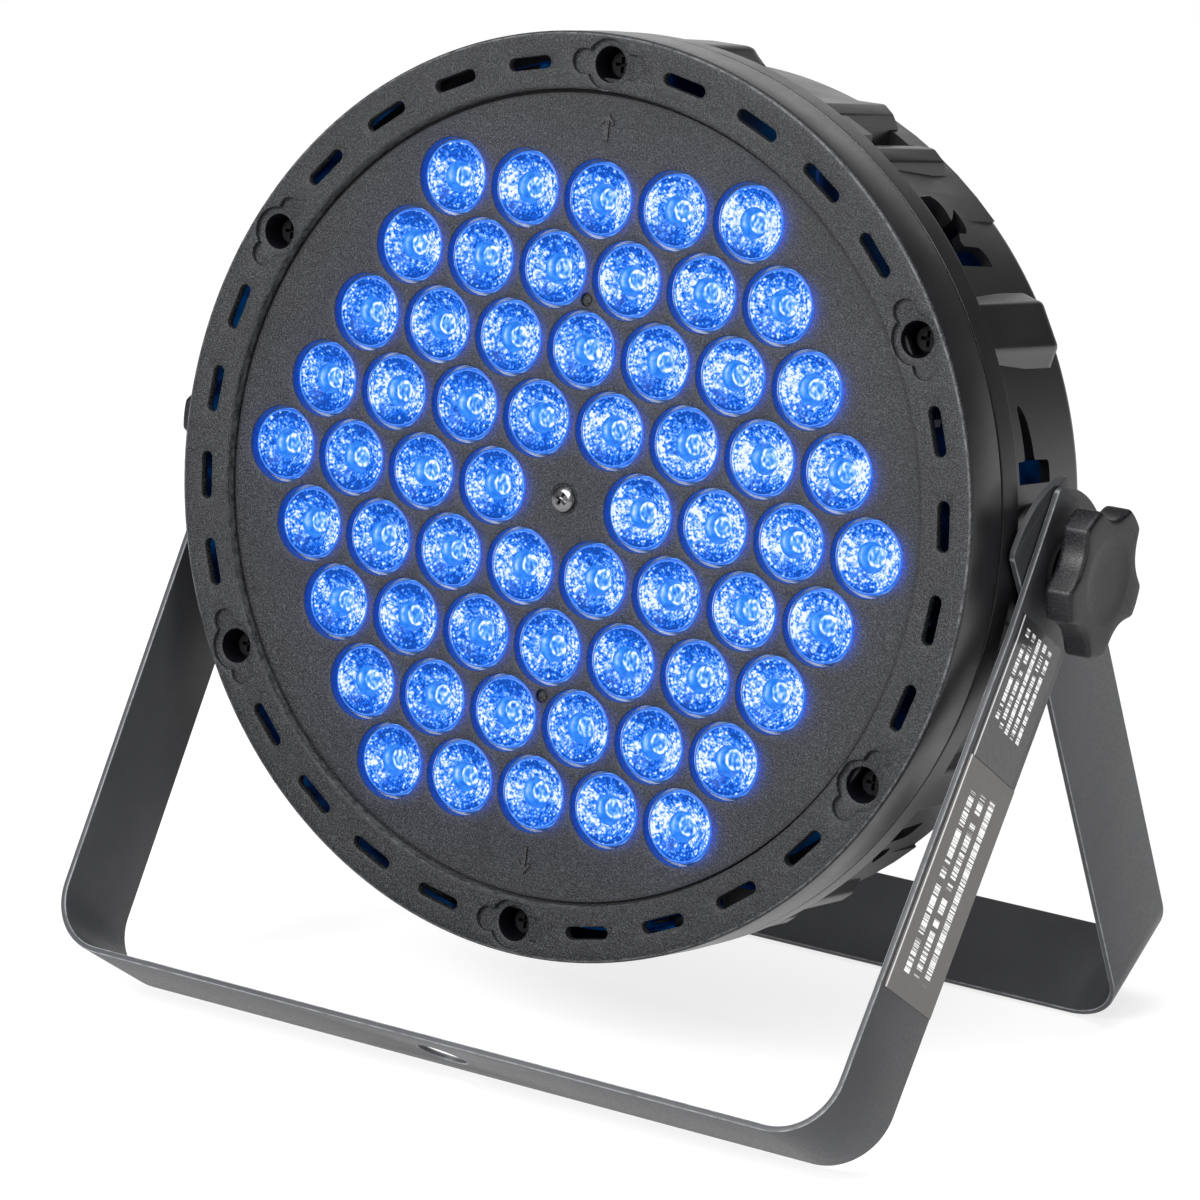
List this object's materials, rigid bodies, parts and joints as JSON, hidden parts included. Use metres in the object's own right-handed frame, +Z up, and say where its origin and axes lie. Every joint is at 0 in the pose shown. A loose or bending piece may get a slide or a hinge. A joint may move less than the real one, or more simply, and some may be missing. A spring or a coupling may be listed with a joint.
{
  "type": "led par can light",
  "caption": "Flat round stage wash light: lens plate and slotted bezel on a shallow drum, hung in two U-shaped yokes with star knobs; the yokes also fold out as a floor stand.",
  "frame": {"origin": "centre of the footprint at floor level, midway between the front and rear yoke bars", "axes": "+X to the light's right seen from the front, -Y towards the front where the beam leaves, +Z up; the housing is tilted up by 7.8 degrees at rest"},
  "size_m": [0.264, 0.1854, 0.2549],
  "materials": {
    "textured_black": "fine textured matte",
    "satin_black": "satin moulded",
    "lens_clear": "clear moulded with frosted faces",
    "board_white": "solder mask",
    "board_green": "solder mask",
    "aluminium": "extruded, as made",
    "graphite_paint": "satin powder coat",
    "knob_black": "matte moulded",
    "zinc_steel": "bright zinc",
    "dark_screw": "dark nickel",
    "fibre": "pressed fibre",
    "socket_black": "moulded",
    "display_tint": "tinted clear",
    "copper_tape": "taped winding",
    "capacitor_sleeve": "shrink sleeve",
    "label_dark": "printed film",
    "label_brown": "printed film",
    "wire_blue": "insulation",
    "wire_black": "insulation",
    "button_grey": "moulded"
  },
  "bodies": {
    "housing": {"front_bezel": "textured_black", "lens_plate": "textured_black", "lens_array": "lens_clear", "led_board": "board_white", "heat_sink": "aluminium", "centre_screw": "dark_screw", "bezel_screw_1": "dark_screw", "bezel_screw_2": "dark_screw", "bezel_screw_3": "dark_screw", "bezel_screw_4": "dark_screw", "bezel_screw_5": "dark_screw", "bezel_screw_6": "dark_screw", "rear_housing": "satin_black", "power_board": "board_green", "power_transformer": "copper_tape", "power_capacitor": "capacitor_sleeve", "driver_board": "board_green", "lead_supply": "wire_blue", "lead_return": "wire_black", "fan_frame": "socket_black", "control_board": "board_green", "display_module": "socket_black", "display_window": "display_tint", "dmx_in": "socket_black", "dmx_out": "socket_black", "mains_inlet": "socket_black", "fuse_holder": "socket_black", "stud_right": "zinc_steel", "stud_left": "zinc_steel", "pivot_nut_right": "zinc_steel", "pivot_nut_left": "zinc_steel", "friction_washer_right": "fibre", "friction_washer_left": "fibre"},
    "front_yoke": {"front_yoke": "graphite_paint", "label_upper": "label_dark", "label_lower": "label_brown", "washer_right": "zinc_steel", "washer_left": "zinc_steel"},
    "rear_yoke": {"rear_yoke": "graphite_paint"},
    "knob_right": {"knob_right": "knob_black"},
    "knob_left": {"knob_left": "knob_black"},
    "fan_rotor": {"fan_rotor": "socket_black"},
    "fuse_cap": {"fuse_cap": "socket_black"},
    "button_menu": {"button_menu": "button_grey"},
    "button_down": {"button_down": "button_grey"},
    "button_up": {"button_up": "button_grey"},
    "button_enter": {"button_enter": "button_grey"}
  },
  "joints": [
    {"name": "front_yoke_hinge", "type": "hinge", "parent": "housing", "child": "front_yoke", "pos_m": [0, 0.00265, 0.13565], "axis": [1, 0, 0], "range_deg": [-35, 200]},
    {"name": "rear_yoke_hinge", "type": "hinge", "parent": "housing", "child": "rear_yoke", "pos_m": [0, 0.00265, 0.13565], "axis": [1, 0, 0], "range_deg": [-55, 150]},
    {"name": "knob_right_turn", "type": "hinge", "parent": "housing", "child": "knob_right", "pos_m": [0, 0.00265, 0.13565], "axis": [1, 0, 0], "range_deg": [0, 180]},
    {"name": "knob_left_turn", "type": "hinge", "parent": "housing", "child": "knob_left", "pos_m": [0, 0.00265, 0.13565], "axis": [-1, 0, 0], "range_deg": [0, 180]},
    {"name": "fan_spin", "type": "hinge", "parent": "housing", "child": "fan_rotor", "pos_m": [0, 0.02977, 0.18038], "axis": [0, 0.9907, -0.1357], "continuous": true},
    {"name": "fuse_cap_turn", "type": "hinge", "parent": "housing", "child": "fuse_cap", "pos_m": [0.07, 0.0284, 0.10991], "axis": [0, 0.9907, -0.1357], "range_deg": [0, 90]},
    {"name": "button_menu_press", "type": "slide", "parent": "housing", "child": "button_menu", "axis": [0, -0.9907, 0.1357], "range_m": [0, 0.0008], "stiffness_N_per_m": 400},
    {"name": "button_down_press", "type": "slide", "parent": "housing", "child": "button_down", "axis": [0, -0.9907, 0.1357], "range_m": [0, 0.0008], "stiffness_N_per_m": 400},
    {"name": "button_up_press", "type": "slide", "parent": "housing", "child": "button_up", "axis": [0, -0.9907, 0.1357], "range_m": [0, 0.0008], "stiffness_N_per_m": 400},
    {"name": "button_enter_press", "type": "slide", "parent": "housing", "child": "button_enter", "axis": [0, -0.9907, 0.1357], "range_m": [0, 0.0008], "stiffness_N_per_m": 400}
  ]
}
